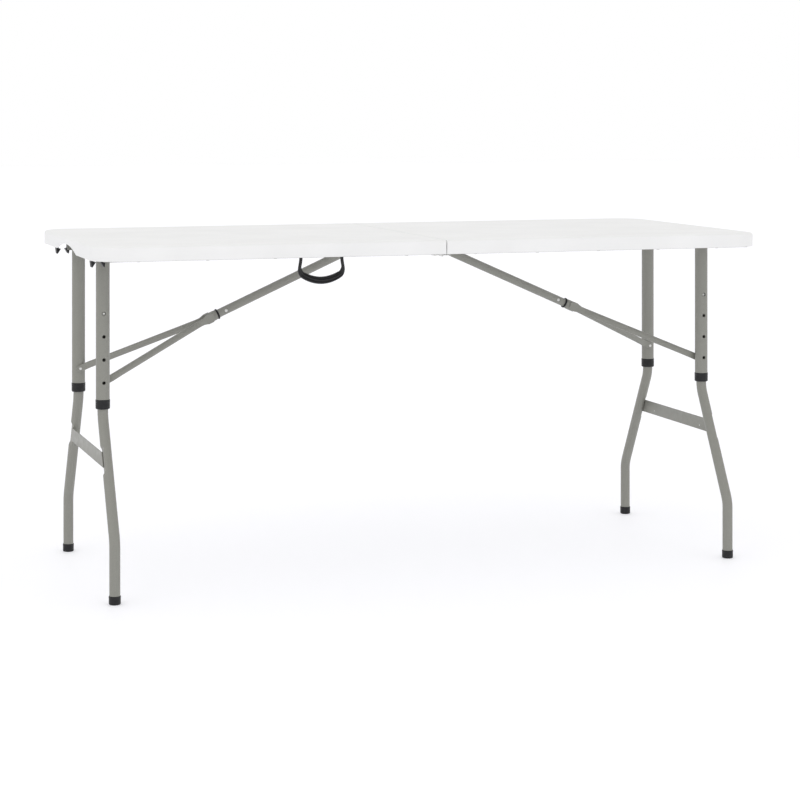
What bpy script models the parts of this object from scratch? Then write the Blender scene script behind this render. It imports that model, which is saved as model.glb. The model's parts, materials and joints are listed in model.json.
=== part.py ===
"""Bi-fold trestle table with height-adjustable folding legs.

Metres, +Z up. The origin is on the floor under the middle of the table. +X runs along the length to
the right, and -Y is the front. Every piece is drawn once, for the right side or the rear row, and
mirrored in X for the left side and in Y for the front row.
"""

import math

import bmesh
import bpy
from mathutils import Matrix, Vector

# Table top
HALF_LENGTH = 0.760
HALF_WIDTH = 0.345
TOP_Z = 0.743
SKIRT_Z = 0.7128
PANEL_UNDER_Z = 0.7373
CORNER_R = 0.065
EDGE_R = 0.005
WALL = 0.004
SEAM_WALL = 0.003
SEAM_X = 0.0010
ARCH_HALF_Y = 0.124
ARCH_RISE = 0.0165
GAP = 0.0003
FIXING_Z = PANEL_UNDER_Z - GAP

# Legs. The pivot stands outboard of the tubes, so that folded feet stop short of the seam.
LEG_X = 0.706
TUBE_Y = 0.1451
FOOT_Y = 0.277
PIVOT_X = LEG_X + 0.0091
PIVOT_Z = 0.7106
ROD_R = 0.0035
ROD_HALF = 0.183
OUTER_R = 0.0147
OUTER_BORE_R = 0.0137
INNER_R = 0.0114
INNER_BORE_R = 0.0102
OUTER_TOP_Z = PIVOT_Z + 0.0065
OUTER_BOTTOM_Z = 0.390
INNER_TOP_Z = 0.612
INNER_BOTTOM_Z = 0.0043
BEND_TOP_Z = 0.372
BEND_BOTTOM_Z = 0.128
BEND_R = 0.060
COLLAR_BOTTOM_Z = 0.387
COLLAR_TOP_Z = 0.407
COLLAR_R = 0.0155
FOOT_R = 0.0127
FOOT_HEIGHT = 0.018
HOLE_TOP_Z = 0.590
HOLE_PITCH = 0.049
HOLE_COUNT = 4
HOLE_R = 0.0038
BUTTON_R = 0.0031
BUTTON_TIP = 0.0133

# Crossbar. It lies on seats pressed into the outer faces of the lower tubes.
BAR_LOW_Z = 0.270
BAR_HIGH_Z = 0.300
SEAT_REACH = 0.0068
BAR_IN_X = LEG_X + SEAT_REACH + GAP
BAR_OUT_X = BAR_IN_X + 0.0025
BAR_END_INSET = 0.0035

# Brace: a V on the leg, which slides on a stem hung from the top
V_PIVOT = Vector((0.7045, 0, 0.440))
STEM_PIVOT = Vector((0.058, 0, 0.7257))
STEM_R = 0.0093
STEM_WALL = 0.0012
STEM_START = 0.283
STEM_PAST_PIN = 0.006
SLEEVE_R = 0.0113
SLEEVE_BORE_R = 0.0105
SLEEVE_START = 0.283
SLEEVE_END = 0.303
RING_END = 0.313
RING_R = 0.0120
STRUT_HALF_Y = 0.0060
STRUT_HALF_W = 0.0072
TAB_HALF = 0.0015
TAB_Y = TUBE_Y - OUTER_R - GAP - TAB_HALF
APEX_Y = SLEEVE_R + GAP + TAB_HALF
BRACE_BUTTON_S = 0.3307
BRACE_BUTTON_R = 0.0036
BRACE_BUTTON_TIP = 0.0102
PIN_R = 0.003
PIN_HALF = 0.010
EAR_Y = 0.0105
EAR_T = 0.0015

# Centre hinges, rails, handle and latches
HINGE_Z = 0.7080
HINGE_Y = 0.308
HINGE_HALF_Y = 0.010
KNUCKLE_R = 0.0022
HINGE_PIN_R = 0.0010
LEAF_LOW_Z = 0.7085
LEAF_HIGH_Z = 0.7102
LEAF_LENGTH = 0.020
RAIL_Y = (0.298, 0.318)
RAIL_X = (0.006, 0.735)
RAIL_LOW_Z = 0.7105
RAIL_T = 0.0015
HANDLE_X = -0.277
HANDLE_Y = -0.333
HANDLE_PIVOT_Z = 0.716
HANDLE_HALF = 0.048
HANDLE_LOW_Z = 0.6635
HANDLE_SHOULDER_Z = 0.6800
LATCH_X = 0.7305
LATCH_Y = 0.215
LATCH_HALF_Y = 0.010
BARB_Z = 0.7050
JAW_TIP_Z = 0.694
CATCH_LOW_Z = 0.7035

SIDES = (("left", -1), ("right", 1))
ROWS = (("front", -1), ("rear", 1))
ROUND = 16
SMALL_ROUND = 12


def clear_scene():
    for item in list(bpy.data.objects):
        bpy.data.objects.remove(item)


def make_material(name, color, roughness, metallic=0.0):
    material = bpy.data.materials.new(name)
    material.use_nodes = True
    shader = material.node_tree.nodes["Principled BSDF"]
    shader.inputs["Base Color"].default_value = (*color, 1.0)
    shader.inputs["Roughness"].default_value = roughness
    shader.inputs["Metallic"].default_value = metallic
    return material


def make_body(name, origin=(0, 0, 0)):
    """An empty on the joint axis of one moving body."""
    empty = bpy.data.objects.new(name, None)
    empty.location = origin
    bpy.context.scene.collection.objects.link(empty)
    return empty


def link_mesh(name, mesh_builder, mirror):
    for vertex in mesh_builder.verts:
        vertex.co.x *= mirror[0]
        vertex.co.y *= mirror[1]
    bmesh.ops.recalc_face_normals(mesh_builder, faces=mesh_builder.faces)
    mesh = bpy.data.meshes.new(name)
    mesh_builder.to_mesh(mesh)
    mesh_builder.free()
    item = bpy.data.objects.new(name, mesh)
    bpy.context.scene.collection.objects.link(item)
    return item


def add(name, shape, material, body, mirror=(1, 1), cuts=(), joins=()):
    """One piece on its body's empty. cuts and joins are shapes for Boolean modifiers."""
    item = link_mesh(name, shape, mirror)
    item.data.transform(Matrix.Translation(-body.location))
    item.parent = body
    item.data.materials.append(material)
    item.data.shade_smooth()
    item.data.set_sharp_from_angle(angle=math.radians(35))
    for operation, tools in (("UNION", joins), ("DIFFERENCE", cuts)):
        for number, tool in enumerate(tools):
            helper = link_mesh(f"{name}_{operation.lower()}_{number}", tool, mirror)
            helper.hide_render = True
            helper.display_type = "WIRE"
            modifier = item.modifiers.new(helper.name, "BOOLEAN")
            modifier.operation = operation
            modifier.object = helper
    return item


def lathe(profile, origin, axis, closed=False, segments=ROUND):
    """Turns (radius, height) points about an axis. An open profile starts and ends on the axis."""
    shape = bmesh.new()
    axis = Vector(axis).normalized()
    across = axis.orthogonal().normalized()
    other = axis.cross(across)
    rings = []
    for radius, height in profile:
        centre = Vector(origin) + axis * height
        if radius == 0:
            rings.append([shape.verts.new(centre)])
            continue
        angles = [2 * math.pi * k / segments for k in range(segments)]
        rings.append(
            [shape.verts.new(centre + (across * math.cos(a) + other * math.sin(a)) * radius) for a in angles]
        )
    pairs = list(zip(rings, rings[1:]))
    if closed:
        pairs.append((rings[-1], rings[0]))
    for low, high in pairs:
        join_rings(shape, low, high, segments)
    return shape


def join_rings(shape, low, high, segments):
    for k in range(segments):
        after = (k + 1) % segments
        corners = [low[k % len(low)], low[after % len(low)], high[after % len(high)], high[k % len(high)]]
        shape.faces.new(list(dict.fromkeys(corners)))


def cylinder(origin, axis, radius, low, high, segments=ROUND):
    return lathe([(0, low), (radius, low), (radius, high), (0, high)], origin, axis, segments=segments)


def tube_ring(origin, axis, radius, bore, low, high):
    profile = [(bore, low), (radius, low), (radius, high), (bore, high)]
    return lathe(profile, origin, axis, closed=True)


def extrude(outline, plane, low, high):
    """A prism of a 2-D outline. plane names its two axes, such as XZ, and the third runs low to high."""
    shape = bmesh.new()
    order = "XYZ"
    third = next(a for a in order if a not in plane)
    rings = []
    for depth in (low, high):
        ring = []
        for first, second in outline:
            values = {plane[0]: first, plane[1]: second, third: depth}
            ring.append(shape.verts.new([values[a] for a in order]))
        rings.append(ring)
    join_rings(shape, rings[0], rings[1], len(outline))
    shape.faces.new(rings[0])
    shape.faces.new(rings[1])
    return shape


def both_ways(right, middle):
    """An outline from its right side, mirrored about middle."""
    return [(middle + x, z) for x, z in right] + [(middle - x, z) for x, z in reversed(right)]


def loft(sections, inner=None):
    """A skin through rings of points. inner holds the bore's rings, for a hollow piece."""
    shape = bmesh.new()
    rings = [[shape.verts.new(p) for p in ring] for ring in sections]
    count = len(rings[0])
    for low, high in zip(rings, rings[1:]):
        join_rings(shape, low, high, count)
    if inner is None:
        shape.faces.new(rings[0])
        shape.faces.new(rings[-1])
        return shape
    bores = [[shape.verts.new(p) for p in ring] for ring in inner]
    for low, high in zip(bores, bores[1:]):
        join_rings(shape, low, high, count)
    join_rings(shape, rings[0], bores[0], count)
    join_rings(shape, rings[-1], bores[-1], count)
    return shape


def section(centre, across, up, half_across, half_up, count=16, power=2.0):
    """A ring of points: an ellipse at power 2, squarer above it."""
    points = []
    for k in range(count):
        angle = 2 * math.pi * k / count
        c, s = math.cos(angle), math.sin(angle)
        reach_c = math.copysign(abs(c) ** (2 / power), c)
        reach_s = math.copysign(abs(s) ** (2 / power), s)
        points.append(centre + across * half_across * reach_c + up * half_up * reach_s)
    return points


def rounded(points, radius, steps=4):
    """A path through straight runs, with an arc of this radius at each inner corner."""
    path = [points[0]]
    for before, corner, after in zip(points, points[1:], points[2:]):
        back = (before - corner).normalized()
        ahead = (after - corner).normalized()
        half_angle = back.angle(ahead) / 2
        start = corner + back * radius / math.tan(half_angle)
        end = corner + ahead * radius / math.tan(half_angle)
        centre = corner + (back + ahead).normalized() * radius / math.sin(half_angle)
        for k in range(steps + 1):
            chord = start.lerp(end, k / steps) - centre
            path.append(centre + chord.normalized() * radius)
    path.append(points[-1])
    return path


def tangents(path):
    found = []
    for k in range(len(path)):
        ahead = path[min(k + 1, len(path) - 1)]
        behind = path[max(k - 1, 0)]
        found.append((ahead - behind).normalized())
    return found


# ---------------------------------------------------------------- table top


def arch_rise(y):
    """How far the skirt's lower edge lifts, in the finger arch at the middle of the table's end."""
    return ARCH_RISE * max(0.0, 1 - (y / ARCH_HALF_Y) ** 2)


def top_outline(seam_x, inset, steps=6):
    """Half of the rounded top's edge, drawn in by inset, with its straight side at seam_x."""
    radius = CORNER_R - inset
    centre_x = HALF_LENGTH - CORNER_R
    centre_y = HALF_WIDTH - CORNER_R
    points = [(seam_x, -HALF_WIDTH + inset)]
    for row, first in ((-1, -90), (1, 0)):
        for k in range(steps + 1):
            angle = math.radians(first + 90 * k / steps)
            points.append((centre_x + radius * math.cos(angle), row * centre_y + radius * math.sin(angle)))
        if row == -1:
            points += [(centre_x + radius, ARCH_HALF_Y * k / 5) for k in range(-5, 6)]
    points.append((seam_x, HALF_WIDTH - inset))
    return points


def top_half():
    def ring(seam_x, inset, z):
        return [Vector((x, y, z)) for x, y in top_outline(seam_x, inset)]

    def skirt_ring(seam_x, inset):
        return [Vector((x, y, SKIRT_Z + arch_rise(y))) for x, y in top_outline(seam_x, inset)]

    outer = [skirt_ring(SEAM_X, 0.0), ring(SEAM_X, 0.0, TOP_Z - EDGE_R)]
    for degrees in (45, 90):
        angle = math.radians(degrees)
        drawn_in = EDGE_R * (1 - math.cos(angle))
        outer.append(ring(SEAM_X, drawn_in, TOP_Z - EDGE_R + EDGE_R * math.sin(angle)))
    inner_seam = SEAM_X + SEAM_WALL
    tray = [skirt_ring(inner_seam, WALL), ring(inner_seam, WALL, PANEL_UNDER_Z)]
    shape = bmesh.new()
    outside = [[shape.verts.new(p) for p in r] for r in outer]
    inside = [[shape.verts.new(p) for p in r] for r in tray]
    count = len(outside[0])
    for rings in (outside, inside):
        for low, high in zip(rings, rings[1:]):
            join_rings(shape, low, high, count)
        shape.faces.new(rings[-1])
    join_rings(shape, outside[0], inside[0], count)
    return shape


def catch_post(row):
    """The T-shaped post whose head the latch's barbs hold when the table is folded."""
    head, post, head_t = 0.0085, 0.0040, 0.0018
    right = [
        (head, CATCH_LOW_Z),
        (head, CATCH_LOW_Z + head_t),
        (post, CATCH_LOW_Z + head_t),
        (post, PANEL_UNDER_Z + 0.002),
    ]
    y = row * LATCH_Y
    return extrude(both_ways(right, LATCH_X), "XZ", y - LATCH_HALF_Y, y + LATCH_HALF_Y)


def rail():
    """A folded steel channel, open towards the middle of the table."""
    near, far = RAIL_Y
    outline = [
        (near, RAIL_LOW_Z),
        (far, RAIL_LOW_Z),
        (far, FIXING_Z),
        (near, FIXING_Z),
        (near, FIXING_Z - RAIL_T),
        (far - RAIL_T, FIXING_Z - RAIL_T),
        (far - RAIL_T, RAIL_LOW_Z + RAIL_T),
        (near, RAIL_LOW_Z + RAIL_T),
    ]
    return extrude(outline, "YZ", *RAIL_X)


def leaf_outline():
    """A hinge leaf with its knuckle, seen along the pin."""
    root = 0.006
    outline = [(LEAF_LENGTH, LEAF_LOW_Z), (root, LEAF_LOW_Z)]
    for degrees in range(20, -241, -52):
        angle = math.radians(degrees)
        outline.append((KNUCKLE_R * math.cos(angle), HINGE_Z + KNUCKLE_R * math.sin(angle)))
    outline += [(0.0006, LEAF_HIGH_Z), (LEAF_LENGTH, LEAF_HIGH_Z)]
    return outline


def plate_outline(start):
    return [
        (LEAF_LENGTH, LEAF_LOW_Z),
        (start, LEAF_LOW_Z),
        (start, LEAF_HIGH_Z),
        (LEAF_LENGTH, LEAF_HIGH_Z),
    ]


def hinge_leaf(outer_knuckles):
    """(shape, joins): the plate, and the knuckles at its ends or in its middle."""
    plate = extrude(plate_outline(0.0045), "XZ", HINGE_Y - HINGE_HALF_Y, HINGE_Y + HINGE_HALF_Y)
    middle = 0.0033
    if outer_knuckles:
        spans = [(-HINGE_HALF_Y, -middle), (middle, HINGE_HALF_Y)]
    else:
        spans = [(GAP - middle, middle - GAP)]
    joins = [extrude(leaf_outline(), "XZ", HINGE_Y + low, HINGE_Y + high) for low, high in spans]
    return plate, joins


def build_top(paint, bodies):
    for side, x_sign in SIDES:
        half = bodies[f"{side}_half"]
        joins = [catch_post(1), catch_post(-1)] if side == "right" else []
        add(f"{side}_top_half", top_half(), paint["white"], half, (x_sign, 1), joins=joins)
        for row, y_sign in ROWS:
            mirror = (x_sign, y_sign)
            add(f"{side}_{row}_rail", rail(), paint["grey"], half, mirror)
            plate, knuckles = hinge_leaf(side == "left")
            bore = cylinder((0, HINGE_Y, HINGE_Z), (0, 1, 0), HINGE_PIN_R + GAP, -0.02, 0.02, SMALL_ROUND)
            name = f"{side}_{row}_hinge_leaf"
            add(name, plate, paint["zinc"], half, mirror, cuts=[bore], joins=knuckles)
    for row, y_sign in ROWS:
        pin = cylinder((0, HINGE_Y, HINGE_Z), (0, 1, 0), HINGE_PIN_R, -0.0115, 0.0115, SMALL_ROUND)
        add(f"{row}_hinge_pin", pin, paint["zinc"], bodies["left_half"], (1, y_sign))
        add(f"{row}_latch", latch(), paint["black"], bodies["left_half"], (-1, y_sign))


def latch():
    """Two barbed jaws on one block, which snap past the head of the other half's post."""
    right = [
        (0.0105, FIXING_Z - 0.003),
        (0.0105, 0.7090),
        (0.0100, BARB_Z + 0.0008),
        (0.0050, BARB_Z),
        (0.0120, JAW_TIP_Z),
        (0.0134, JAW_TIP_Z),
        (0.0150, BARB_Z),
        (0.0150, FIXING_Z),
    ]
    return extrude(both_ways(right, LATCH_X), "XZ", LATCH_Y - LATCH_HALF_Y, LATCH_Y + LATCH_HALF_Y)


# ---------------------------------------------------------------- legs


def drill(radius):
    """Cutters for the row of adjustment holes in the outward wall of a leg tube."""
    heights = [HOLE_TOP_Z - HOLE_PITCH * k for k in range(HOLE_COUNT)]
    return [cylinder((LEG_X, TUBE_Y, z), (0, 1, 0), radius, 0.005, 0.02, SMALL_ROUND) for z in heights]


def build_leg(side, x_sign, paint, bodies):
    leg, lower = bodies[f"{side}_leg"], bodies[f"{side}_lower_leg"]
    half = bodies[f"{side}_half"]
    pivot = Vector((PIVOT_X, 0, PIVOT_Z))
    rod = cylinder(pivot, (0, 1, 0), ROD_R, -ROD_HALF, ROD_HALF)
    add(f"{side}_pivot_rod", rod, paint["zinc"], leg, (x_sign, 1))
    bar = extrude(crossbar_outline(), "YZ", BAR_IN_X, BAR_OUT_X)
    add(f"{side}_crossbar", bar, paint["grey"], lower, (x_sign, 1))
    for row, y_sign in ROWS:
        mirror = (x_sign, y_sign)
        axis_foot = Vector((LEG_X, TUBE_Y, 0))
        upper = tube_ring(axis_foot, (0, 0, 1), OUTER_R, OUTER_BORE_R, OUTER_BOTTOM_Z, OUTER_TOP_Z)
        holes = drill(HOLE_R)
        holes.append(cylinder(pivot, (0, 1, 0), ROD_R + GAP, TUBE_Y - 0.02, TUBE_Y + 0.02))
        add(f"{side}_{row}_upper_tube", upper, paint["grey"], leg, mirror, cuts=holes)
        add(f"{side}_{row}_collar", collar(), paint["black"], leg, mirror)

        holes = drill(BUTTON_R + GAP)
        add(f"{side}_{row}_lower_tube", lower_tube(), paint["grey"], lower, mirror, cuts=holes)
        add(f"{side}_{row}_foot", foot(), paint["black"], lower, mirror)
        add(f"{side}_{row}_button", leg_button(), paint["zinc"], bodies[f"{side}_{row}_button"], mirror)

        bracket = extrude(bracket_outline(), "YZ", PIVOT_X - 0.011, PIVOT_X + 0.011)
        bore = cylinder(pivot, (0, 1, 0), ROD_R + GAP, 0.17, 0.19)
        add(f"{side}_{row}_pivot_bracket", bracket, paint["grey"], half, mirror, cuts=[bore])


def crossbar_outline():
    """The bar's ends follow the slant of the tubes."""
    slope = (FOOT_Y - TUBE_Y) / (BEND_TOP_Z - BEND_BOTTOM_Z)
    low_y = TUBE_Y + slope * (BEND_TOP_Z - BAR_LOW_Z) - BAR_END_INSET
    high_y = TUBE_Y + slope * (BEND_TOP_Z - BAR_HIGH_Z) - BAR_END_INSET
    return [(-low_y, BAR_LOW_Z), (low_y, BAR_LOW_Z), (high_y, BAR_HIGH_Z), (-high_y, BAR_HIGH_Z)]


def lower_path():
    corners = [
        Vector((LEG_X, TUBE_Y, INNER_TOP_Z)),
        Vector((LEG_X, TUBE_Y, BEND_TOP_Z)),
        Vector((LEG_X, FOOT_Y, BEND_BOTTOM_Z)),
        Vector((LEG_X, FOOT_Y, INNER_BOTTOM_Z)),
    ]
    path = rounded(corners, BEND_R)
    for z in (BAR_HIGH_Z + 0.016, BAR_HIGH_Z + 0.008, BAR_LOW_Z - 0.008, BAR_LOW_Z - 0.016):
        k = next(k for k, point in enumerate(path) if point.z < z)
        above, below = path[k - 1], path[k]
        path.insert(k, above.lerp(below, (above.z - z) / (above.z - below.z)))
    return path


def lower_tube():
    """A bent tube, pressed flat on its outer side where the crossbar lies."""
    normal = Vector((1, 0, 0))
    path = lower_path()
    wall = INNER_R - INNER_BORE_R
    outer, inner = [], []
    for centre, tangent in zip(path, tangents(path)):
        across = normal.cross(tangent)
        pressed = BAR_LOW_Z - 0.010 < centre.z < BAR_HIGH_Z + 0.010
        reach = SEAT_REACH if pressed else INNER_R
        skin = section(centre, normal, across, INNER_R, INNER_R, ROUND)
        bore = section(centre, normal, across, INNER_BORE_R, INNER_BORE_R, ROUND)
        outer.append(flattened(skin, reach))
        inner.append(flattened(bore, reach - wall))
    return loft(outer, inner)


def flattened(ring, reach):
    return [Vector((min(point.x, LEG_X + reach), point.y, point.z)) for point in ring]


def collar():
    """The moulded sleeve that closes the foot of the upper tube round the lower one."""
    lip_z = OUTER_BOTTOM_Z - GAP
    profile = [
        (INNER_R + GAP, COLLAR_BOTTOM_Z),
        (COLLAR_R - 0.001, COLLAR_BOTTOM_Z),
        (COLLAR_R, COLLAR_BOTTOM_Z + 0.001),
        (COLLAR_R, COLLAR_TOP_Z),
        (OUTER_R + GAP, COLLAR_TOP_Z),
        (OUTER_R + GAP, lip_z),
        (INNER_R + GAP, lip_z),
    ]
    return lathe(profile, (LEG_X, TUBE_Y, 0), (0, 0, 1), closed=True)


def foot():
    """A moulded cup on the end of the lower tube."""
    profile = [
        (0, 0),
        (FOOT_R - 0.0015, 0),
        (FOOT_R, 0.0015),
        (FOOT_R, FOOT_HEIGHT - 0.0005),
        (FOOT_R - 0.0005, FOOT_HEIGHT),
        (INNER_R + GAP, FOOT_HEIGHT),
        (INNER_R + GAP, INNER_BOTTOM_Z - GAP),
        (0, INNER_BOTTOM_Z - GAP),
    ]
    return lathe(profile, (LEG_X, FOOT_Y, 0), (0, 0, 1))


def leg_button():
    """A snap button in the lower tube. Its dome fills the top hole of the upper tube from inside."""
    profile = [(0, 0.0035), (0.0045, 0.0035), (0.0045, 0.0060), (BUTTON_R, 0.0060), (BUTTON_R, 0.0119)]
    profile += [(BUTTON_R * 0.8, 0.0127), (BUTTON_R * 0.45, 0.0132), (0, BUTTON_TIP)]
    return lathe(profile, (LEG_X, TUBE_Y, HOLE_TOP_Z), (0, 1, 0), segments=SMALL_ROUND)


def bracket_outline():
    near, thick, reach, low_z = 0.176, 0.003, 0.022, 0.7035
    return [
        (near, low_z),
        (near + thick, low_z),
        (near + thick, FIXING_Z - thick / 2),
        (near + reach, FIXING_Z - thick / 2),
        (near + reach, FIXING_Z),
        (near, FIXING_Z),
    ]


# ---------------------------------------------------------------- brace


def brace_frame():
    """(direction from the leg to the top, direction square to it and up, length)."""
    reach = STEM_PIVOT - V_PIVOT
    along = reach.normalized()
    return along, Vector((along.z, 0, -along.x)), reach.length


def on_brace(distance, y=0.0):
    along, _, _ = brace_frame()
    return V_PIVOT + along * distance + Vector((0, y, 0))


def blend(values, at):
    """Linear between (place, value) pairs."""
    for (low, first), (high, second) in zip(values, values[1:]):
        if at <= high:
            share = max(0.0, (at - low) / (high - low))
            return first + (second - first) * share
    return values[-1][1]


def strut():
    """A tube with flat ends: a tab on the leg, and a tall tab on the sleeve."""
    along, up, _ = brace_frame()
    corners = [(-0.008, TAB_Y), (0.018, TAB_Y), (0.264, APEX_Y), (0.300, APEX_Y)]
    flat = rounded([Vector((s, y, 0)) for s, y in corners], 0.035, 3)
    places = with_stops(flat, (0.010, 0.045, 0.232, 0.274, 0.283))
    thin = [(0.010, TAB_HALF), (0.045, STRUT_HALF_Y), (0.232, STRUT_HALF_Y), (0.262, TAB_HALF)]
    tall = [(0.010, 0.0075), (0.045, STRUT_HALF_W), (0.274, STRUT_HALF_W), (0.283, 0.0105)]
    rings = []
    for place, tangent in zip(places, tangents(places)):
        direction = along * tangent.x + Vector((0, tangent.y, 0))
        across = up.cross(direction).normalized()
        centre = on_brace(place.x, place.y)
        rings.append(section(centre, across, up, blend(thin, place.x), blend(tall, place.x), 12, 2.6))
    return loft(rings)


def with_stops(path, stops):
    """The path, with a point added at each of these values of x that has none near it."""
    points = list(path)
    for stop in stops:
        for k, (start, end) in enumerate(zip(points, points[1:])):
            if start.x + 0.003 < stop < end.x - 0.003:
                points.insert(k + 1, start.lerp(end, (stop - start.x) / (end.x - start.x)))
                break
    return points


def stem():
    """A tube whose end is pressed narrower where the pin passes."""
    _, up, length = brace_frame()
    across = Vector((0, 1, 0))
    end = length + STEM_PAST_PIN
    places = [(STEM_START, 1.0), (length - 0.032, 1.0), (length - 0.016, 0.68), (end, 0.68)]
    outer, inner = [], []
    for place, share in places:
        centre = on_brace(place)
        half = STEM_R * share
        outer.append(section(centre, across, up, STEM_R, half, ROUND))
        inner.append(section(centre, across, up, STEM_R - STEM_WALL, half - STEM_WALL, ROUND))
    return loft(outer, inner)


def sleeve():
    """The collar at the V's apex, with the lock ring turned on its upper end."""
    along, _, _ = brace_frame()
    profile = [
        (SLEEVE_BORE_R, SLEEVE_START),
        (SLEEVE_R, SLEEVE_START),
        (SLEEVE_R, SLEEVE_END),
        (SLEEVE_R - 0.0006, SLEEVE_END + 0.0005),
        (SLEEVE_R - 0.0006, RING_END - 0.0045),
        (RING_R, RING_END - 0.0038),
        (RING_R, RING_END - 0.0007),
        (RING_R - 0.0007, RING_END),
        (SLEEVE_BORE_R, RING_END),
    ]
    return lathe(profile, V_PIVOT, along, closed=True)


def stem_bracket():
    """An upside-down channel whose ears stand each side of the stem."""
    edge, low_z, plate = EAR_Y + EAR_T, 0.7190, 0.0012
    outline = [
        (-edge, low_z),
        (-EAR_Y, low_z),
        (-EAR_Y, FIXING_Z - plate),
        (EAR_Y, FIXING_Z - plate),
        (EAR_Y, low_z),
        (edge, low_z),
        (edge, FIXING_Z),
        (-edge, FIXING_Z),
    ]
    return extrude(outline, "YZ", STEM_PIVOT.x - 0.013, STEM_PIVOT.x + 0.013)


def build_brace(side, x_sign, paint, bodies):
    mirror = (x_sign, 1)
    button_axis = on_brace(BRACE_BUTTON_S)
    button_hole = cylinder(button_axis, (0, -1, 0), BRACE_BUTTON_R + GAP, 0.004, 0.02, SMALL_ROUND)
    pin_hole = cylinder(STEM_PIVOT, (0, 1, 0), PIN_R + GAP, -0.02, 0.02, SMALL_ROUND)
    moving = bodies[f"{side}_stem"]
    add(f"{side}_stem", stem(), paint["grey"], moving, mirror, cuts=[button_hole, pin_hole])
    pin = cylinder(STEM_PIVOT, (0, 1, 0), PIN_R, -PIN_HALF, PIN_HALF, SMALL_ROUND)
    add(f"{side}_stem_pin", pin, paint["zinc"], moving, mirror)
    half = bodies[f"{side}_half"]
    add(f"{side}_stem_bracket", stem_bracket(), paint["grey"], half, mirror)
    profile = [(0, 0.002), (BRACE_BUTTON_R, 0.002), (BRACE_BUTTON_R, 0.0088), (BRACE_BUTTON_R * 0.8, 0.0097)]
    profile += [(BRACE_BUTTON_R * 0.45, 0.0101), (0, BRACE_BUTTON_TIP)]
    button = lathe(profile, button_axis, (0, -1, 0), segments=SMALL_ROUND)
    add(f"{side}_brace_button", button, paint["zinc"], bodies[f"{side}_brace_button"], mirror)
    vee = bodies[f"{side}_brace"]
    add(f"{side}_brace_sleeve", sleeve(), paint["grey"], vee, mirror)
    for row, y_sign in ROWS:
        add(f"{side}_{row}_strut", strut(), paint["grey"], vee, (x_sign, y_sign))


# ---------------------------------------------------------------- handle


def handle():
    """A moulded bail: two flat arms and a deep curved grip."""
    y = Vector((0, 1, 0))
    top_half_x = HANDLE_HALF - 0.0030
    middle = Vector((HANDLE_X, HANDLE_Y, 0))
    spots = []
    for k in range(-5, 6):
        share = k / 5
        rise = HANDLE_SHOULDER_Z - (HANDLE_SHOULDER_Z - HANDLE_LOW_Z) * (1 - share * share)
        fullness = 1 - share * share
        thick = 0.0056 + 0.0022 * math.sqrt(fullness)
        spots.append((HANDLE_HALF * share, rise, thick, 0.0045 + 0.0045 * fullness))
    arm = [(top_half_x, HANDLE_PIVOT_Z + 0.004), (top_half_x, 0.7085), (HANDLE_HALF - 0.0005, 0.6915)]
    arms = [(x, z, 0.0034, 0.0030) for x, z in arm]
    spots = [(-x, z, a, b) for x, z, a, b in arms] + spots + list(reversed(arms))
    path = [middle + Vector((x, 0, z)) for x, z, _, _ in spots]
    rings = []
    for centre, tangent, spot in zip(path, tangents(path), spots):
        rings.append(section(centre, tangent.cross(y).normalized(), y, spot[2], spot[3], 12, 2.6))
    return loft(rings)


def build_handle(paint, bodies):
    pivot = Vector((HANDLE_X, HANDLE_Y, HANDLE_PIVOT_Z))
    along = (1, 0, 0)
    eye = cylinder(pivot, along, 0.0016, -0.06, 0.06, SMALL_ROUND)
    add("handle", handle(), paint["black"], bodies["handle"], cuts=[eye])
    pin = cylinder(pivot, along, 0.0012, -0.0545, 0.0545, SMALL_ROUND)
    add("handle_pin", pin, paint["zinc"], bodies["left_half"])
    ear_in, ear_out, low_z, plate = 0.0490, 0.0520, 0.7129, 0.003
    outline = [
        (-ear_out, low_z),
        (-ear_in, low_z),
        (-ear_in, FIXING_Z - plate),
        (ear_in, FIXING_Z - plate),
        (ear_in, low_z),
        (ear_out, low_z),
        (ear_out, FIXING_Z),
        (-ear_out, FIXING_Z),
    ]
    outline = [(HANDLE_X + x, z) for x, z in outline]
    anchor = extrude(outline, "XZ", HANDLE_Y - 0.005, HANDLE_Y + 0.005)
    bore = cylinder(pivot, along, 0.0016, -0.06, 0.06, SMALL_ROUND)
    add("handle_anchor", anchor, paint["black"], bodies["left_half"], cuts=[bore])


# ---------------------------------------------------------------- assembly


def make_bodies():
    """Each body's empty stands on the axis of the joint that moves it."""
    bodies = {"left_half": make_body("left_half")}
    bodies["right_half"] = make_body("right_half", (0, 0, HINGE_Z))
    bodies["handle"] = make_body("handle_swing", (HANDLE_X, HANDLE_Y, HANDLE_PIVOT_Z))
    button = on_brace(BRACE_BUTTON_S)
    for side, x_sign in SIDES:
        places = {
            "leg": (PIVOT_X, 0, PIVOT_Z),
            "lower_leg": (LEG_X, 0, HOLE_TOP_Z),
            "brace": V_PIVOT,
            "stem": STEM_PIVOT,
            "brace_button": button,
        }
        for name, (x, y, z) in places.items():
            bodies[f"{side}_{name}"] = make_body(f"{side}_{name}_axis", (x_sign * x, y, z))
        for row, y_sign in ROWS:
            name = f"{side}_{row}_button"
            bodies[name] = make_body(f"{name}_axis", (x_sign * LEG_X, y_sign * TUBE_Y, HOLE_TOP_Z))
    return bodies


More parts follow.
